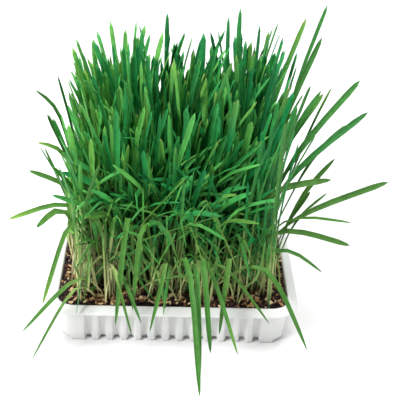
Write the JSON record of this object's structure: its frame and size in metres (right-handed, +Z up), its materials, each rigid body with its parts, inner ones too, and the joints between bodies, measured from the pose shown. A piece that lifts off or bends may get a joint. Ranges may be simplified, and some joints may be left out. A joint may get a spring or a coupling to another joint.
{
  "type": "wheatgrass tray",
  "caption": "Rectangular fluted plastic tray with a sloping lip, filled with growing mix, from which bunches of wheatgrass stand and arch over the rim.",
  "frame": {"origin": "centre of the tray's flat underside", "axes": "+Z up, +X along the tray's longer side, the tray's front, where the blades droop, facing -Y"},
  "size_m": [0.2996, 0.246, 0.267],
  "materials": {
    "tray_plastic": "satin white moulded plastic",
    "growing_mix": "dark damp crumbs of peat and bark, with tan husks",
    "grass": "green wheat leaf, pale at the stem, satin sheen"
  },
  "bodies": {
    "root": {"tray": "tray_plastic", "soil": "growing_mix", "clump_1_1": "grass", "clump_1_2": "grass", "clump_1_5": "grass", "clump_1_6": "grass", "clump_1_7": "grass", "clump_2_1": "grass", "clump_2_2": "grass", "clump_2_3": "grass", "clump_2_4": "grass", "clump_2_5": "grass", "clump_2_6": "grass", "clump_3_1": "grass", "clump_3_2": "grass", "clump_3_3": "grass", "clump_3_4": "grass", "clump_3_5": "grass", "clump_3_6": "grass", "clump_3_7": "grass", "clump_4_1": "grass", "clump_4_2": "grass", "clump_4_3": "grass", "clump_4_4": "grass", "clump_4_5": "grass", "clump_4_6": "grass", "clump_5_1": "grass", "clump_5_2": "grass", "clump_5_3": "grass", "clump_5_4": "grass", "clump_5_5": "grass", "clump_5_6": "grass", "clump_5_7": "grass", "clump_6_1": "grass", "clump_6_2": "grass", "clump_6_3": "grass", "clump_6_4": "grass", "clump_6_5": "grass", "clump_6_6": "grass"}
  },
  "joints": []
}
